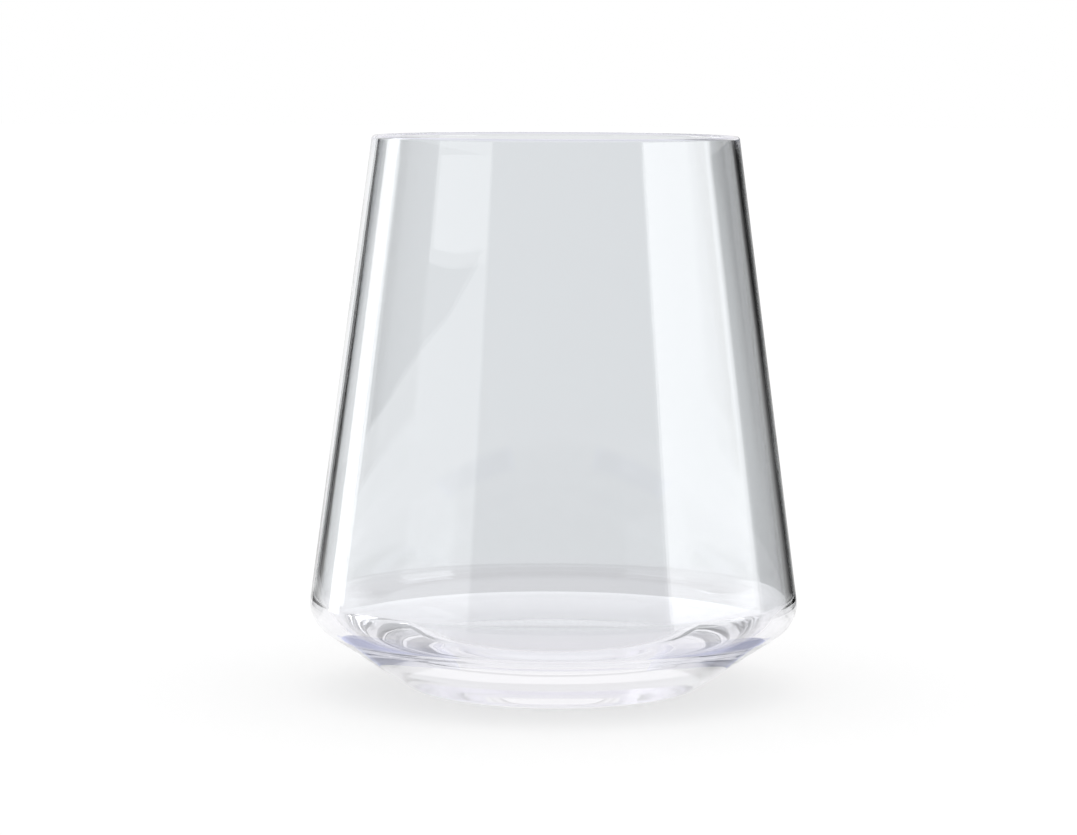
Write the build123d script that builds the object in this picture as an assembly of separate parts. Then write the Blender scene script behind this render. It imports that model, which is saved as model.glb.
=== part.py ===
"""Stemless wine glass: a conical wall sleeve welded to a thick clear base.

Millimetres, +Z up. The origin is the centre of the foot, on the surface that the glass stands on.
Both pieces are turned forms, so each is drawn as a half section, with X the radius and Y the height.
"""

from build123d import *
import math
import os

# Outline of the glass, given at the sharp corners before they are rounded
glass_height = 105.0
rim_radius = 34.6
hip_radius = 46.75
hip_height = 13.5
hip_round = 6.3
foot_radius = 26.7
foot_round = 8.0

# Wall, measured level, and the land left between the two rounds of the lip
rim_wall = 1.6
hip_wall = 1.8
lip_land = 0.2

# Inside floor: how far it lies below the hip's corner, its sag to the middle and its round corner
floor_below_hip = 1.8
floor_sag = 1.2
floor_round = 6.0

# Underside: the flat ring that the glass stands on and the hollow inside that ring
foot_ring_width = 3.0
hollow_height = 0.4

# Tongue and groove where the sleeve is welded to the base
weld_land = 1.0
tongue_width = 0.6
tongue_depth = 1.2
tongue_side_gap = 0.05
melt_pocket = 0.2


def outer_radius(height):
    """Outside of the straight wall at a height."""
    share = (height - hip_height) / (glass_height - hip_height)
    return hip_radius + (rim_radius - hip_radius) * share


def inner_radius(height):
    """Inside of the straight wall at a height; the wall thins evenly towards the rim."""
    share = (height - hip_height) / (glass_height - hip_height)
    return outer_radius(height) - hip_wall - (rim_wall - hip_wall) * share


def round_end(corner, along, other, radius):
    """Where a round of this radius leaves the first of a corner's two straight sides."""
    side = Vector(*along) - Vector(*corner)
    other_side = Vector(*other) - Vector(*corner)
    opening = math.radians(side.get_angle(other_side))
    reach = radius / math.tan(opening / 2)
    return Vector(*corner) + side.normalized() * reach


# Corners of the half section, as (radius, height)
floor_height = hip_height - floor_below_hip
rim_corner = (rim_radius, glass_height)
rim_inner_corner = (inner_radius(glass_height), glass_height)
hip_corner = (hip_radius, hip_height)
foot_corner = (foot_radius, 0.0)
foot_centre = (0.0, 0.0)
floor_corner = (inner_radius(floor_height), floor_height)
floor_centre = (0.0, floor_height - floor_sag)
hollow_centre = (0.0, hollow_height)
level = (1.0, 0.0)

# The weld lies on straight wall, above the hip outside and above the floor's round corner inside
hip_round_top = round_end(hip_corner, rim_corner, foot_corner, hip_round).Y
floor_round_top = round_end(floor_corner, rim_inner_corner, floor_centre, floor_round).Y
weld_height = max(hip_round_top, floor_round_top) + weld_land
weld_outer = (outer_radius(weld_height), weld_height)
weld_inner = (inner_radius(weld_height), weld_height)
weld_centre = (0.0, weld_height)
weld_middle = (outer_radius(weld_height) + inner_radius(weld_height)) / 2

# The flat foot ring lies between the foot's round edge and the hollow
foot_ring_outer = round_end(foot_corner, foot_centre, hip_corner, foot_round).X
hollow_edge = (foot_ring_outer - foot_ring_width, 0.0)


def nearest(shape, corner):
    """The vertex of a flat shape that lies at a corner."""
    return shape.vertices().sort_by_distance(Vector(*corner))[0]


def weld_slot(width, depth):
    """Section of the tongue or of its groove, hanging from the weld at the middle of the wall."""
    return Pos(weld_middle, weld_height - depth / 2) * Rectangle(width, depth)


def wall_section():
    """Straight wall from the weld up to the lip, which has both its edges rounded."""
    lip_round = (rim_wall - lip_land) / 2
    with BuildSketch() as section:
        with BuildLine():
            Polyline(weld_inner, weld_outer, rim_corner, rim_inner_corner, close=True)
        make_face()
        fillet([nearest(section, rim_corner), nearest(section, rim_inner_corner)], lip_round)
    return section.sketch


def base_section():
    """Outside of the base up to the weld, filled in to the axis: hip, taper, foot ring and hollow."""
    with BuildSketch() as section:
        with BuildLine():
            Polyline(hollow_centre, weld_centre, weld_outer, hip_corner, foot_corner, hollow_edge)
            TangentArc(hollow_centre, hollow_edge, tangent=level)
        make_face()
        fillet(nearest(section, hip_corner), hip_round)
        fillet(nearest(section, foot_corner), foot_round)
    return section.sketch


def inside_section():
    """Hollow of the bowl below the weld: straight side, round corner and sagging floor."""
    with BuildSketch() as section:
        with BuildLine():
            Polyline(floor_centre, weld_centre, weld_inner, floor_corner)
            TangentArc(floor_centre, floor_corner, tangent=level)
        make_face()
        fillet(nearest(section, floor_corner), floor_round)
    return section.sketch


def make_bowl_wall():
    """The sleeve: wall and lip, with the tongue under its lower edge."""
    tongue = weld_slot(tongue_width, tongue_depth)
    return revolve(Plane.XZ * (wall_section() + tongue), Axis.Z)


def make_base_dish():
    """The base: its outside, less the bowl's hollow and the groove for the tongue."""
    groove = weld_slot(tongue_width + 2 * tongue_side_gap, tongue_depth + melt_pocket)
    return revolve(Plane.XZ * (base_section() - inside_section() - groove), Axis.Z)


os.makedirs("parts", exist_ok=True)
export_step(make_bowl_wall(), "parts/bowl_wall.step")
export_step(make_base_dish(), "parts/base_dish.step")
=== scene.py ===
"""Looks of a stemless wine glass: a clear conical wall welded to a thick clear base, in a bright studio.

Metres, +Z up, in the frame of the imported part: the origin is the centre of the foot. Azimuths round the
glass are in degrees, 0 straight behind it as the camera sees it and positive to the right.
"""

import logging
import math
from dataclasses import dataclass
from enum import Enum

import bpy
import numpy as np
from mathutils import Matrix, Vector


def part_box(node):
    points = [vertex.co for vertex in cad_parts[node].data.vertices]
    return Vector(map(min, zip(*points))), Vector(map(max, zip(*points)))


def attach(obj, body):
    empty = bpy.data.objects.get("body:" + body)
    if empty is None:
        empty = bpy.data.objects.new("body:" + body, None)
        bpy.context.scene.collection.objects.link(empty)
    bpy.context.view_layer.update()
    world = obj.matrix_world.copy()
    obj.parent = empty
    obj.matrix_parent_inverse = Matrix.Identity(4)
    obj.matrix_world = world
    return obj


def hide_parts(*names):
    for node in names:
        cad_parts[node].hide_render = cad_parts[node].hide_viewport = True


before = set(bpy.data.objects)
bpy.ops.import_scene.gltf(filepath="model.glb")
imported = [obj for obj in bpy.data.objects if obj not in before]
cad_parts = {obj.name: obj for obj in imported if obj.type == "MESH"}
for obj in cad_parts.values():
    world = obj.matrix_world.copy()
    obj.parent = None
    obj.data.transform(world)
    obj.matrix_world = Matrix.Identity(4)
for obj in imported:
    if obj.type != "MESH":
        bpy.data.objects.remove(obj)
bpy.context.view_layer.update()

MILLIMETRE = 0.001
PAINTED_TINT_SHARE = "painted_tint_share"
BRIGHTNESS = "brightness"
WELD_TOLERANCE = 0.0001 * MILLIMETRE
LIGHT_TURNS = 200
Colour = tuple[float, float, float]
Stops = tuple[tuple[float, float, float], ...]
log = logging.getLogger("stemless_glass")


class Node(str, Enum):
    """The CAD nodes that the dressed pieces stand for."""

    WALL = "bowl_wall"
    BASE = "base_dish"


class Slot(str, Enum):
    """The record's material slots."""

    WALL = "clear_wall"
    BASE = "clear_base"


class Body(str, Enum):
    """The part's bodies; nothing on a glass moves, so there is one."""

    ROOT = "root"


class Face(int, Enum):
    """Material slots on a dressed piece."""

    CLEAR = 0
    WELD = 1


class Nodes:
    """A material's or world's node tree, with short calls to add nodes and join them."""

    def __init__(self, owner: bpy.types.ID) -> None:
        """Empties the owner's tree.

        Args:
            owner: the material or world whose shader nodes are written.
        """
        owner.use_nodes = True
        self.tree = owner.node_tree
        self.tree.nodes.clear()

    def add(self, kind: str, **values: object) -> bpy.types.Node:
        """Adds a node.

        Args:
            kind: the node's type name.
            values: properties of the node, such as operation.

        Returns:
            The new node.
        """
        node = self.tree.nodes.new(kind)
        for name, value in values.items():
            setattr(node, name, value)
        return node

    def put(self, node: bpy.types.Node, **values: object) -> bpy.types.Node:
        """Sets plain values on a node's inputs; an underscore in a name stands for a space.

        Args:
            node: the node to set.
            values: input name to value.

        Returns:
            The same node.
        """
        for name, value in values.items():
            node.inputs[name.replace("_", " ")].default_value = value
        return node

    def join(self, source: bpy.types.NodeSocket, target: bpy.types.NodeSocket) -> None:
        """Links an output to an input."""
        self.tree.links.new(source, target)


@dataclass(frozen=True)
class ClearPlastic:
    """Polished clear plastic: it bends light, is faintly tinted, and is not quite even.

    At the lip and from the hip down, the body tint turns to a painted tint, which stands in for the colour
    that light
    picks up running far inside the plastic: painted shade, darker and violet, at the lip, and a faint painted
    violet in the base. Slow waves left by the moulding bend the reflections a little, and fine wipe marks
    change the gloss from place to place.
    """

    name: str
    body_tint: Colour
    # painted tint: painted shade, darker and violet, at the lip, and faint painted violet in the base, for
    # light that runs far inside
    painted_path_tint: Colour
    ior: float = 1.53
    gloss_roughness: float = 0.0
    wipe_roughness: float = 0.03
    wipe_scale: float = 260.0
    wipe_detail: float = 4.0
    wipe_grain: float = 0.6
    wipe_drawn: tuple[float, float, float] = (0.3, 0.3, 1.0)
    wipe_range: tuple[float, float] = (0.55, 0.8)
    wave_scale: float = 38.0
    wave_detail: float = 1.0
    wave_grain: float = 0.4
    wave_depth: float = 0.04 * MILLIMETRE

    def material(self) -> bpy.types.Material:
        """Writes the finish as a material.

        Returns:
            The material, on Object coordinates and the piece's own painted_tint_share.
        """
        material = bpy.data.materials.new(self.name)
        nodes = Nodes(material)
        place = nodes.add("ShaderNodeTexCoord")
        shader = nodes.add("ShaderNodeBsdfPrincipled")
        nodes.put(shader, Transmission_Weight=1.0, IOR=self.ior)
        self._tint(nodes, shader)
        self._wipe_marks(nodes, place, shader)
        self._waves(nodes, place, shader)
        output = nodes.add("ShaderNodeOutputMaterial")
        nodes.join(shader.outputs["BSDF"], output.inputs["Surface"])
        return material

    def _tint(self, nodes: Nodes, shader: bpy.types.Node) -> None:
        """Colour from the body tint to the painted tint (painted shade at the lip, painted violet in the
        base), by the piece's share of it.

        Args:
            nodes: the material's tree.
            shader: the node that takes the colour.
        """
        share = nodes.add("ShaderNodeAttribute", attribute_name=PAINTED_TINT_SHARE)
        ramp = nodes.add("ShaderNodeValToRGB")
        ramp.color_ramp.elements[0].color = (*self.body_tint, 1.0)
        ramp.color_ramp.elements[1].color = (*self.painted_path_tint, 1.0)
        nodes.join(share.outputs["Fac"], ramp.inputs["Fac"])
        nodes.join(ramp.outputs["Color"], shader.inputs["Base Color"])

    def _wipe_marks(self, nodes: Nodes, place: bpy.types.Node, shader: bpy.types.Node) -> None:
        """Roughness from fine noise drawn out round the glass, as a cloth leaves it.

        Args:
            nodes: the material's tree.
            place: the node with the Object coordinates.
            shader: the node that takes the roughness.
        """
        low, high = self.wipe_range
        drawn = nodes.add("ShaderNodeMapping")
        nodes.put(drawn, Scale=self.wipe_drawn)
        nodes.join(place.outputs["Object"], drawn.inputs["Vector"])
        noise = nodes.add("ShaderNodeTexNoise")
        nodes.put(noise, Scale=self.wipe_scale, Detail=self.wipe_detail, Roughness=self.wipe_grain)
        nodes.join(drawn.outputs["Vector"], noise.inputs["Vector"])
        level = nodes.add("ShaderNodeMapRange")
        nodes.put(level, From_Min=low, From_Max=high, To_Min=self.gloss_roughness, To_Max=self.wipe_roughness)
        nodes.join(noise.outputs["Fac"], level.inputs["Value"])
        nodes.join(level.outputs["Result"], shader.inputs["Roughness"])

    def _waves(self, nodes: Nodes, place: bpy.types.Node, shader: bpy.types.Node) -> None:
        """Slow waves in the surface, as a shallow bump.

        Args:
            nodes: the material's tree.
            place: the node with the Object coordinates.
            shader: the node that takes the bent normal.
        """
        noise = nodes.add("ShaderNodeTexNoise")
        nodes.put(noise, Scale=self.wave_scale, Detail=self.wave_detail, Roughness=self.wave_grain)
        nodes.join(place.outputs["Object"], noise.inputs["Vector"])
        bump = nodes.add("ShaderNodeBump")
        nodes.put(bump, Strength=1.0, Distance=self.wave_depth)
        nodes.join(noise.outputs["Fac"], bump.inputs["Height"])
        nodes.join(bump.outputs["Normal"], shader.inputs["Normal"])


@dataclass(frozen=True)
class WeldedFace:
    """A face where two clear pieces have melted into one, so that light goes straight on."""

    name: str = "welded_face"

    def material(self) -> bpy.types.Material:
        """Writes the finish as a material.

        Returns:
            The material, which shows nothing of itself.
        """
        material = bpy.data.materials.new(self.name)
        nodes = Nodes(material)
        shader = nodes.add("ShaderNodeBsdfTransparent")
        output = nodes.add("ShaderNodeOutputMaterial")
        nodes.join(shader.outputs["BSDF"], output.inputs["Surface"])
        return material


@dataclass(frozen=True)
class Corner:
    """A corner of a half section, given sharp, with the round that it gets."""

    radius: float
    height: float
    round: float = 0.0

    def point(self) -> np.ndarray:
        """The sharp corner as (radius, height)."""
        return np.array((self.radius, self.height))


def arc_at(before: np.ndarray, corner: Corner, after: np.ndarray, steps: int) -> np.ndarray:
    """Points of the round at a corner.

    The arc's centre lies on the line that halves the corner, at round / sin(half) from it, and the arc runs
    between the two points at round / tan(half) along the sides, where half is half the corner's angle.

    Args:
        before: the point that the line comes from.
        corner: the corner and its round.
        after: the point that the line goes to.
        steps: how many spans the arc has.

    Returns:
        Array of points, (radius, height) in each row.
    """
    tip = corner.point()
    back = (before - tip) / np.linalg.norm(before - tip)
    ahead = (after - tip) / np.linalg.norm(after - tip)
    half = math.acos(float(back @ ahead)) / 2
    middle = (back + ahead) / np.linalg.norm(back + ahead)
    centre = tip + middle * corner.round / math.sin(half)
    first = tip + back * corner.round / math.tan(half) - centre
    last = tip + ahead * corner.round / math.tan(half) - centre
    start = math.atan2(first[1], first[0])
    sweep = math.remainder(math.atan2(last[1], last[0]) - start, 2 * math.pi)
    angles = start + sweep * np.linspace(0.0, 1.0, steps + 1)
    return centre + corner.round * np.column_stack((np.cos(angles), np.sin(angles)))


def rounded_line(corners: list[Corner], steps: int) -> np.ndarray:
    """Line through corners, with an arc in place of each rounded one.

    Args:
        corners: the corners in order; the first and last stay sharp.
        steps: spans in each arc.

    Returns:
        Array of points, (radius, height) in each row.
    """
    runs = [corners[0].point()[None]]
    for before, corner, after in zip(corners, corners[1:], corners[2:]):
        if corner.round > 0:
            runs.append(arc_at(before.point(), corner, after.point(), steps))
        else:
            runs.append(corner.point()[None])
    runs.append(corners[-1].point()[None])
    return np.concatenate(runs)


def spaced(line: np.ndarray, longest: float) -> np.ndarray:
    """The same line with each span divided evenly until none is longer than a given length.

    Args:
        line: points, (radius, height) in each row.
        longest: the longest span to leave.

    Returns:
        Array of points on the same line.
    """
    lengths = np.linalg.norm(np.diff(line, axis=0), axis=1)
    counts = np.maximum(1, np.ceil(lengths / longest).astype(int))
    starts = np.repeat(np.arange(len(counts)), counts)
    within = np.arange(counts.sum()) - np.repeat(np.cumsum(counts) - counts, counts)
    shares = (within / counts[starts])[:, None]
    points = line[starts] * (1 - shares) + line[starts + 1] * shares
    return np.concatenate((points, line[-1:]))


def shallow_arc(middle_height: float, edge_radius: float, edge_height: float, steps: int) -> np.ndarray:
    """Section of a shallow dish or dome, level at the axis: height grows with the square of the radius.

    Args:
        middle_height: height at the axis.
        edge_radius: radius of the edge.
        edge_height: height of the edge.
        steps: spans between the axis and the edge.

    Returns:
        Array of points from the axis to the edge.
    """
    share = np.linspace(0.0, 1.0, steps + 1)
    heights = middle_height + (edge_height - middle_height) * share**2
    return np.column_stack((edge_radius * share, heights))


@dataclass(frozen=True)
class GlassShape:
    """Sizes of the glass, as the part's own source has them, at the sharp corners before rounding."""

    glass_height: float
    weld_height: float
    rim_radius: float = 34.6 * MILLIMETRE
    hip_radius: float = 46.75 * MILLIMETRE
    hip_height: float = 13.5 * MILLIMETRE
    hip_round: float = 6.3 * MILLIMETRE
    foot_radius: float = 26.7 * MILLIMETRE
    foot_round: float = 8.0 * MILLIMETRE
    rim_wall: float = 1.6 * MILLIMETRE
    hip_wall: float = 1.8 * MILLIMETRE
    lip_land: float = 0.2 * MILLIMETRE
    floor_below_hip: float = 1.8 * MILLIMETRE
    floor_sag: float = 1.2 * MILLIMETRE
    floor_round: float = 6.0 * MILLIMETRE
    hollow_radius: float = 21.26 * MILLIMETRE
    hollow_height: float = 0.4 * MILLIMETRE

    @property
    def floor_height(self) -> float:
        """Height of the inside floor's edge."""
        return self.hip_height - self.floor_below_hip

    def outer_radius(self, height: float) -> float:
        """Outside of the straight wall at a height."""
        share = (height - self.hip_height) / (self.glass_height - self.hip_height)
        return self.hip_radius + (self.rim_radius - self.hip_radius) * share

    def inner_radius(self, height: float) -> float:
        """Inside of the straight wall at a height; the wall thins evenly towards the rim."""
        share = (height - self.hip_height) / (self.glass_height - self.hip_height)
        return self.outer_radius(height) - self.hip_wall - (self.rim_wall - self.hip_wall) * share


@dataclass
class TurnedPiece:
    """A piece that is the same all round: a half section carried round the Z axis."""

    name: str
    shape: GlassShape
    finish: ClearPlastic
    weld: WeldedFace
    node: Node
    slot: Slot
    segments: int = 384
    arc_steps: int = 14
    longest_span: float = 4.0 * MILLIMETRE

    def section(self) -> np.ndarray:
        """The half section, with the solid on the right of its direction."""
        raise NotImplementedError

    def painted_tint_share(self, section: np.ndarray) -> np.ndarray:
        """How far each point of the section has the painted tint, from 0 to 1."""
        raise NotImplementedError

    def surface(self, section: np.ndarray) -> tuple[np.ndarray, np.ndarray, np.ndarray]:
        """Carries the section round the axis.

        Point (i, j) lies at (r_i cos a_j, r_i sin a_j, z_i), with a_j evenly spaced over a full turn. A
        section that starts and ends on the axis has one point at each pole, and any other is a loop.

        Args:
            section: points, (radius, height) in each row.

        Returns:
            The points, the four-cornered faces, and the three-cornered faces at the poles.
        """
        poles = bool(section[0, 0] == 0.0)
        rings = section[1:-1] if poles else section
        angles = 2 * math.pi * np.arange(self.segments) / self.segments
        round_x = np.outer(rings[:, 0], np.cos(angles))
        round_y = np.outer(rings[:, 0], np.sin(angles))
        heights = np.broadcast_to(rings[:, 1:], round_x.shape)
        points = np.stack((round_x, round_y, heights), axis=-1).reshape(-1, 3)
        index = np.arange(len(points)).reshape(len(rings), self.segments)
        here = index[:-1] if poles else index
        above = index[1:] if poles else np.roll(index, -1, axis=0)
        corners = (here, above, np.roll(above, -1, axis=1), np.roll(here, -1, axis=1))
        quads = np.stack(corners, axis=-1).reshape(-1, 4)
        if not poles:
            return points, quads, np.empty((0, 3), int)
        first, last = index[0], index[-1]
        start = np.full(self.segments, len(points))
        points = np.concatenate((points, [[0, 0, section[0, 1]], [0, 0, section[-1, 1]]]))
        top = np.column_stack((start, first, np.roll(first, -1)))
        under = np.column_stack((last, start + 1, np.roll(last, -1)))
        return points, quads, np.concatenate((top, under))

    def build(self) -> bpy.types.Object:
        """Makes the piece's object at the origin, with its place in its mesh.

        Returns:
            The object, smooth, with sharp edges round its weld face.
        """
        section = self.section()
        points, quads, triangles = self.surface(section)
        mesh = bpy.data.meshes.new(self.name)
        mesh.from_pydata(points.tolist(), [], quads.tolist() + triangles.tolist())
        mesh.polygons.foreach_set("use_smooth", np.ones(len(mesh.polygons), bool))
        self._mark_weld(mesh, points, quads)
        share = self.painted_tint_share(section)
        if triangles.size:
            share = np.concatenate((np.repeat(share[1:-1], self.segments), share[[0, -1]]))
        else:
            share = np.repeat(share, self.segments)
        mesh.attributes.new(PAINTED_TINT_SHARE, "FLOAT", "POINT").data.foreach_set("value", share)
        mesh.update()
        piece = bpy.data.objects.new(self.name, mesh)
        bpy.context.scene.collection.objects.link(piece)
        return piece

    def _mark_weld(self, mesh: bpy.types.Mesh, points: np.ndarray, quads: np.ndarray) -> None:
        """Gives the level faces at the weld their own material slot and sharp edges.

        Args:
            mesh: the piece's mesh, whose first faces are the quads.
            points: the mesh's points.
            quads: the mesh's four-cornered faces.
        """
        at_weld = np.isclose(points[:, 2], self.shape.weld_height, rtol=0, atol=WELD_TOLERANCE)
        slots = np.full(len(mesh.polygons), Face.CLEAR.value, np.int32)
        slots[: len(quads)][at_weld[quads].all(axis=1)] = Face.WELD.value
        mesh.polygons.foreach_set("material_index", slots)
        ends = np.empty(2 * len(mesh.edges), np.int32)
        mesh.edges.foreach_get("vertices", ends)
        sharp = mesh.attributes.new("sharp_edge", "BOOLEAN", "EDGE")
        sharp.data.foreach_set("value", at_weld[ends.reshape(-1, 2)].all(axis=1))

    def dress(self, piece: bpy.types.Object) -> None:
        """Gives the piece its finishes, ties it to its body, and hides the CAD node that it stands for.

        Args:
            piece: the object from build.
        """
        piece.data.materials.append(self.finish.material())
        piece.data.materials.append(self.weld.material())
        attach(piece, Body.ROOT.value)
        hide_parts(self.node.value)


@dataclass
class BowlWall(TurnedPiece):
    """The conical sleeve, from the weld up to the rounded drinking lip."""

    lip_fade: float = 0.6 * MILLIMETRE

    def section(self) -> np.ndarray:
        """Up the inside, over the lip, down the outside and back along the weld.

        Returns:
            Array of points, (radius, height) in each row.
        """
        shape = self.shape
        lip_round = (shape.rim_wall - shape.lip_land) / 2
        weld_inner = Corner(shape.inner_radius(shape.weld_height), shape.weld_height)
        rim_inner = Corner(shape.rim_radius - shape.rim_wall, shape.glass_height, lip_round)
        rim_outer = Corner(shape.rim_radius, shape.glass_height, lip_round)
        weld_outer = Corner(shape.outer_radius(shape.weld_height), shape.weld_height)
        line = rounded_line([weld_inner, rim_inner, rim_outer, weld_outer], self.arc_steps)
        return spaced(line, self.longest_span)

    def painted_tint_share(self, section: np.ndarray) -> np.ndarray:
        """Share of the painted lip shade: full on top of the lip, and gone where its rounds end."""
        below = self.shape.glass_height - section[:, 1]
        return np.clip(1.0 - below / self.lip_fade, 0.0, 1.0)


@dataclass
class BaseDish(TurnedPiece):
    """The thick base: floor with a round corner, hip, taper, foot ring and the hollow under it."""

    floor_steps: int = 12
    corner_room: float = 1.5
    # fade of the painted violet below the weld
    violet_fade: float = 4.0 * MILLIMETRE

    def section(self) -> np.ndarray:
        """Out over the floor, up to the weld, round the hip, down to the foot and in under the base.

        The floor's sag stops corner_room times the corner's round short of the floor's edge, and a straight
        line goes on from there to the corner.

        Returns:
            Array of points, (radius, height) in each row.
        """
        shape = self.shape
        floor_edge = shape.inner_radius(shape.floor_height)
        floor_flat = floor_edge - self.corner_room * shape.floor_round
        sag_share = (floor_flat / floor_edge) ** 2
        floor_middle = shape.floor_height - shape.floor_sag
        flat_height = floor_middle + shape.floor_sag * sag_share
        floor = shallow_arc(floor_middle, floor_flat, flat_height, self.floor_steps)
        side = [
            Corner(*floor[-1]),
            Corner(floor_edge, shape.floor_height, shape.floor_round),
            Corner(shape.inner_radius(shape.weld_height), shape.weld_height),
            Corner(shape.outer_radius(shape.weld_height), shape.weld_height),
            Corner(shape.hip_radius, shape.hip_height, shape.hip_round),
            Corner(shape.foot_radius, 0.0, shape.foot_round),
            Corner(shape.hollow_radius, 0.0),
        ]
        hollow = shallow_arc(shape.hollow_height, shape.hollow_radius, 0.0, self.floor_steps)[::-1]
        line = np.concatenate((floor[:-1], rounded_line(side, self.arc_steps), hollow[1:]))
        return spaced(line, self.longest_span)

    def painted_tint_share(self, section: np.ndarray) -> np.ndarray:
        """Share of the painted violet: none at the weld, so that it doesn't show, and full from a little way
        below it.
        """
        return np.clip((self.shape.weld_height - section[:, 1]) / self.violet_fade, 0.0, 1.0)


@dataclass(frozen=True)
class PanelEdge:
    """One long edge of a panel: its height where it starts, its distance from the axis, and its climb."""

    height: float
    distance: float = 0.95
    climb: float = 0.0

    def points(self, turns: np.ndarray, along: np.ndarray) -> np.ndarray:
        """Points at (distance sin a, distance cos a, height + climb t), for azimuth a and share t.

        Args:
            turns: azimuths along the edge, in degrees.
            along: how far along the panel each point lies, from 0 to 1.

        Returns:
            Array of points, one in each row.
        """
        angles = np.radians(turns)
        heights = self.height + self.climb * along
        return np.column_stack((self.distance * np.sin(angles), self.distance * np.cos(angles), heights))


@dataclass(frozen=True)
class StudioPanel:
    """A soft light, a card, a painted shadow or a black flag that stands or lies round the glass, out of the
    camera's sight.

    Each stop gives the azimuth of the lower edge, that of the upper edge, and the brightness there. On a
    card that lies on the table, the lower edge is the inner one.
    """

    name: str
    stops: Stops
    lower: PanelEdge
    upper: PanelEdge
    colour: Colour = (1.0, 1.0, 1.0)
    steps: int = 96

    def build(self) -> bpy.types.Object:
        """Makes the panel as a strip between its two edges.

        Azimuths and brightness run evenly between the stops.

        Returns:
            The panel's object, seen in the glass alone.
        """
        count = self.steps + 1
        along = np.linspace(0.0, 1.0, count)
        marks = np.linspace(0.0, 1.0, len(self.stops))
        low_turns, high_turns, levels = (np.interp(along, marks, values) for values in np.array(self.stops).T)
        points = np.concatenate((self.lower.points(low_turns, along), self.upper.points(high_turns, along)))
        first = np.arange(self.steps)
        faces = np.column_stack((first, first + 1, first + 1 + count, first + count))
        mesh = bpy.data.meshes.new(self.name)
        mesh.from_pydata(points.tolist(), [], faces.tolist())
        glow = mesh.attributes.new(BRIGHTNESS, "FLOAT", "POINT")
        glow.data.foreach_set("value", np.tile(levels, 2))
        mesh.materials.append(self._material())
        panel = bpy.data.objects.new(self.name, mesh)
        bpy.context.scene.collection.objects.link(panel)
        panel.visible_camera = False
        panel.visible_diffuse = False
        panel.visible_shadow = False
        return panel

    def _material(self) -> bpy.types.Material:
        """Soft light of the panel's colour, at its brightness.

        Returns:
            The panel's material.
        """
        material = bpy.data.materials.new(self.name)
        nodes = Nodes(material)
        level = nodes.add("ShaderNodeAttribute", attribute_name=BRIGHTNESS)
        glow = nodes.put(nodes.add("ShaderNodeEmission"), Color=(*self.colour, 1.0))
        nodes.join(level.outputs["Fac"], glow.inputs["Strength"])
        output = nodes.add("ShaderNodeOutputMaterial")
        nodes.join(glow.outputs["Emission"], output.inputs["Surface"])
        return material


@dataclass
class Studio:
    """White floor under a white sky, with the panels that draw the glass's edges and highlights, and painted
    shadow cards under its hip.
    """

    panels: tuple[StudioPanel, ...]
    floor_half_width: float = 6.0
    floor_drop: float = 0.05 * MILLIMETRE
    floor_colour: float = 0.42
    floor_lift: float = 0.62
    sky_light: float = 1.0

    def build(self) -> None:
        """Makes the floor, the sky and the panels."""
        self._floor()
        self._sky()
        for panel in self.panels:
            panel.build()
            log.info("panel %s", panel.name)

    @staticmethod
    def _seen(nodes: Nodes) -> bpy.types.NodeSocket:
        """Tells apart the rays that show the floor or the sky.

        Args:
            nodes: the tree of the floor's material or of the sky.

        Returns:
            A socket that is 1 for rays from the camera and for those that the glass mirrors or lets through.
        """
        path = nodes.add("ShaderNodeLightPath")
        mirrored = nodes.add("ShaderNodeMath", operation="MAXIMUM")
        nodes.join(path.outputs["Is Camera Ray"], mirrored.inputs[0])
        nodes.join(path.outputs["Is Glossy Ray"], mirrored.inputs[1])
        passed = nodes.add("ShaderNodeMath", operation="MAXIMUM")
        nodes.join(mirrored.outputs[0], passed.inputs[0])
        nodes.join(path.outputs["Is Transmission Ray"], passed.inputs[1])
        return passed.outputs[0]

    def _floor(self) -> None:
        """Pale matt floor, lifted to white where it is seen, so that only the shadow shows on it."""
        side = self.floor_half_width * np.array([[-1, -1], [1, -1], [1, 1], [-1, 1]])
        corners = np.column_stack((side, np.full(len(side), -self.floor_drop)))
        mesh = bpy.data.meshes.new("studio_floor")
        mesh.from_pydata(corners.tolist(), [], [(0, 1, 2, 3)])
        material = bpy.data.materials.new("studio_floor")
        nodes = Nodes(material)
        matt = nodes.put(nodes.add("ShaderNodeBsdfDiffuse"), Color=(*[self.floor_colour] * 3, 1.0))
        level = nodes.add("ShaderNodeMath", operation="MULTIPLY")
        nodes.join(self._seen(nodes), level.inputs[0])
        level.inputs[1].default_value = self.floor_lift
        lift = nodes.add("ShaderNodeEmission")
        nodes.join(level.outputs[0], lift.inputs["Strength"])
        both = nodes.add("ShaderNodeAddShader")
        nodes.join(matt.outputs["BSDF"], both.inputs[0])
        nodes.join(lift.outputs["Emission"], both.inputs[1])
        output = nodes.add("ShaderNodeOutputMaterial")
        nodes.join(both.outputs[0], output.inputs["Surface"])
        mesh.materials.append(material)
        floor = bpy.data.objects.new("studio_floor", mesh)
        bpy.context.scene.collection.objects.link(floor)

    def _sky(self) -> None:
        """White where it is seen, and the level of the studio's soft light elsewhere."""
        world = bpy.data.worlds.new("studio_sky")
        nodes = Nodes(world)
        level = nodes.add("ShaderNodeMapRange")
        nodes.put(level, To_Min=self.sky_light, To_Max=1.0)
        nodes.join(self._seen(nodes), level.inputs["Value"])
        sky = nodes.put(nodes.add("ShaderNodeBackground"), Color=(1.0, 1.0, 1.0, 1.0))
        nodes.join(level.outputs["Result"], sky.inputs["Strength"])
        output = nodes.add("ShaderNodeOutputWorld")
        nodes.join(sky.outputs["Background"], output.inputs["Surface"])
        bpy.context.scene.world = world


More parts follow.
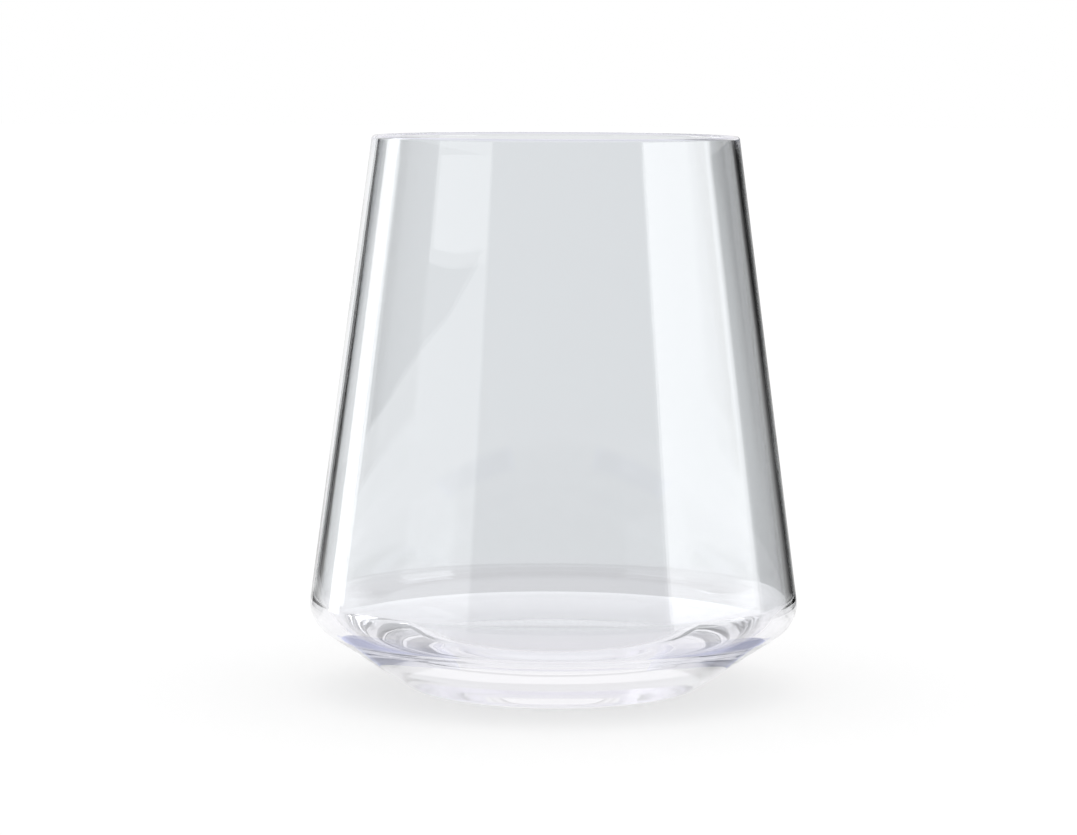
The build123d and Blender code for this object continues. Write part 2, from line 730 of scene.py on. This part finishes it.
@dataclass(frozen=True)
class PhotoCamera:
    """The camera at the photograph's viewing angle: a little above the rim, looking slightly down."""

    distance: float = 0.700
    height: float = 0.119
    aside: float = -0.003
    pitch_down: float = 5.5
    roll: float = 0.26
    lens: float = 123.9
    sensor_width: float = 36.0
    sight: float = 100.0

    def build(self) -> bpy.types.Object:
        """Makes the camera and gives it to the scene.

        Returns:
            The camera's object.
        """
        data = bpy.data.cameras.new("photo_camera")
        data.lens = self.lens
        data.sensor_width = self.sensor_width
        data.clip_end = self.sight
        camera = bpy.data.objects.new("photo_camera", data)
        bpy.context.scene.collection.objects.link(camera)
        place = Matrix.Translation(Vector((self.aside, -self.distance, self.height)))
        tilt = Matrix.Rotation(math.radians(90.0 - self.pitch_down), 4, "X")
        camera.matrix_world = place @ tilt @ Matrix.Rotation(math.radians(self.roll), 4, "Z")
        bpy.context.scene.camera = camera
        return camera


def straight(*stops: tuple[float, float]) -> Stops:
    """Stops with one azimuth for both edges, from pairs of azimuth and brightness."""
    return tuple((turn, turn, level) for turn, level in stops)


# Tints of the clear plastic: its own tint through the wall, and painted tints that stand in for the colour
# light picks up running far inside, which are painted shade, darker and violet, at the lip, and a faint
# painted violet low in the base
WALL_TINT = (0.958, 0.975, 0.99)
LIP_PAINTED_SHADE = (0.78, 0.75, 0.92)
BASE_PAINTED_VIOLET = (0.97, 0.965, 0.99)

# Cards on the table and a screen behind, which turn the middle of the glass pale grey
CARD_HEIGHT = 0.3 * MILLIMETRE
CARDS_INNER = PanelEdge(CARD_HEIGHT, 0.095)
CARDS_MEET = PanelEdge(CARD_HEIGHT, 0.14)
CARDS_OUTER = PanelEdge(CARD_HEIGHT, 0.95)
NEAR_TABLE_STOPS = straight(
    (-75.0, 0.95), (-28.0, 0.95), (-23.0, 0.76), (22.0, 0.735), (26.0, 0.9), (75.0, 0.9),
)
FAR_TABLE_STOPS = straight(
    (-75.0, 0.95), (-26.0, 0.95), (-22.0, 0.84), (22.0, 0.8), (26.0, 0.88), (75.0, 0.88),
)
BACK_STOPS = ((-35.0, -41.5, 0.95), (-26.0, -26.0, 0.95), (-22.0, -22.0, 0.84), (23.0, 21.0, 0.8))

# Flags that lean in towards the glass: black spans draw its dark edge lines, grey ones the bands beside them
FLAG_FOOT = PanelEdge(0.0005, 0.135)
FLAG_JOIN = PanelEdge(0.012, 0.132)
FLAG_TOP = PanelEdge(0.113, 0.109)
LEFT_STOPS = (
    (-67.0, -67.0, 0.75), (-59.0, -66.0, 0.5), (-50.0, -64.5, 0.38), (-47.0, -63.5, 0.01),
    (-40.0, -47.0, 0.01),
)
LEFT_FOOT_STOPS = (
    (-60.0, -60.5, 0.74), (-51.0, -51.0, 0.65), (-45.5, -46.5, 0.4), (-39.0, -39.5, 0.15),
)
RIGHT_STOPS = (
    (25.0, 22.0, 0.85), (25.5, 22.0, 0.58), (27.0, 22.0, 0.5), (31.5, 22.5, 0.4), (34.5, 23.0, 0.33),
    (34.5, 24.0, 0.29), (35.0, 26.5, 0.25), (35.5, 33.5, 0.22), (35.5, 34.5, 0.01), (44.0, 49.0, 0.01),
    (48.0, 53.0, 0.3), (52.5, 55.0, 0.36), (81.0, 84.0, 0.42),
)

# Painted shadows: violet cards on the table under the hip, seen only in the glass, which stand in for the
# shade under the hip's overhang and darken and colour the ends of the base
SHADOW_VIOLET = (0.75, 0.78, 1.0)
SHADOW_INNER = PanelEdge(CARD_HEIGHT, 0.035)
SHADOW_OUTER = PanelEdge(CARD_HEIGHT, 0.052)
LEFT_SIDE_STOPS = straight(
    (-147.0, 1.0), (-141.0, 0.6), (-130.0, 0.6), (-126.0, 0.75),
    (-117.0, 0.75), (-111.0, 0.64), (-97.0, 0.6), (-86.0, 1.0),
)
RIGHT_SIDE_STOPS = straight(
    (86.0, 0.9), (94.0, 0.48), (112.0, 0.48), (117.0, 0.7),
    (126.0, 0.7), (130.0, 0.58), (141.0, 0.58), (147.0, 1.0),
)

# Soft lights that the wall mirrors, and the dark curtains that bound them
STRIP_STOPS = ((-67.5, -74.0, 2.8), (-57.0, -55.5, 2.8))
GAP_STOPS = straight((-104.0, 0.15), (-68.0, 0.15))
WEDGE_STOPS = straight((-136.0, 0.15), (-104.0, 0.15))
PATCH_STOPS = straight((-140.0, 1.4), (-104.0, 1.4))
LEFT_CURTAIN_STOPS = straight((-140.0, 0.05), (-104.0, 0.05))
FRONT_CURTAIN_STOPS = straight((126.0, 0.1), (219.5, 0.1))
RIGHT_CURTAIN_STOPS = straight((77.0, 0.05), (126.0, 0.05))
SOFTBOX_STOPS = ((69.0, 69.0, 1.8), (97.0, 97.0, 2.3), (124.0, 125.0, 2.8))

PANELS = (
    StudioPanel("near_table_card", NEAR_TABLE_STOPS, CARDS_INNER, CARDS_MEET),
    StudioPanel("far_table_card", FAR_TABLE_STOPS, CARDS_MEET, CARDS_OUTER),
    StudioPanel("back_screen", BACK_STOPS, PanelEdge(0.03, 0.16), PanelEdge(0.116, 0.16)),
    StudioPanel("left_flag", LEFT_STOPS, FLAG_JOIN, FLAG_TOP),
    StudioPanel("left_flag_foot", LEFT_FOOT_STOPS, FLAG_FOOT, FLAG_JOIN),
    StudioPanel("right_flag", RIGHT_STOPS, FLAG_FOOT, FLAG_TOP),
    # painted shadows under the hip, seen only in the glass
    StudioPanel("left_side_shadow", LEFT_SIDE_STOPS, SHADOW_INNER, SHADOW_OUTER, SHADOW_VIOLET),
    StudioPanel("right_side_shadow", RIGHT_SIDE_STOPS, SHADOW_INNER, SHADOW_OUTER, SHADOW_VIOLET),
    StudioPanel("left_strip", STRIP_STOPS, PanelEdge(0.0, 0.3), PanelEdge(0.3, 0.3)),
    StudioPanel("left_gap", GAP_STOPS, PanelEdge(0.182, climb=-0.096), PanelEdge(0.75)),
    StudioPanel("left_wedge", WEDGE_STOPS, PanelEdge(0.255, climb=-0.073), PanelEdge(0.258, climb=-0.036)),
    StudioPanel("left_patch", PATCH_STOPS, PanelEdge(0.26, climb=-0.038), PanelEdge(0.38)),
    StudioPanel("left_curtain", LEFT_CURTAIN_STOPS, PanelEdge(0.38), PanelEdge(0.68)),
    StudioPanel("front_curtain", FRONT_CURTAIN_STOPS, PanelEdge(0.0), PanelEdge(0.75)),
    StudioPanel("right_curtain", RIGHT_CURTAIN_STOPS, PanelEdge(0.4), PanelEdge(0.68)),
    StudioPanel("right_softbox", SOFTBOX_STOPS, PanelEdge(0.0), PanelEdge(0.4)),
)


def set_light_paths() -> None:
    """Lets light go on through many faces and inner reflections, as a thick clear base needs."""
    cycles = bpy.context.scene.cycles
    cycles.max_bounces = LIGHT_TURNS
    cycles.glossy_bounces = LIGHT_TURNS
    cycles.transmission_bounces = LIGHT_TURNS
    cycles.transparent_max_bounces = LIGHT_TURNS


def main() -> None:
    """Builds the studio, the camera and the two pieces of the glass."""
    logging.basicConfig(level=logging.INFO, format="%(message)s")
    bpy.context.scene.view_settings.view_transform = "Standard"
    set_light_paths()
    Studio(PANELS).build()
    PhotoCamera().build()
    shape = GlassShape(glass_height=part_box(Node.WALL.value)[1].z, weld_height=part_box(Node.BASE.value)[1].z)
    weld = WeldedFace()
    wall_plastic = ClearPlastic("clear_wall_plastic", WALL_TINT, LIP_PAINTED_SHADE)
    base_plastic = ClearPlastic("clear_base_plastic", WALL_TINT, BASE_PAINTED_VIOLET)
    pieces = (
        BowlWall("glass_wall", shape, wall_plastic, weld, Node.WALL, Slot.WALL),
        BaseDish("glass_base", shape, base_plastic, weld, Node.BASE, Slot.BASE),
    )
    for piece in pieces:
        made = piece.build()
        piece.dress(made)
        log.info("piece %s: %d faces", made.name, len(made.data.polygons))


if __name__ == "__main__":
    main()
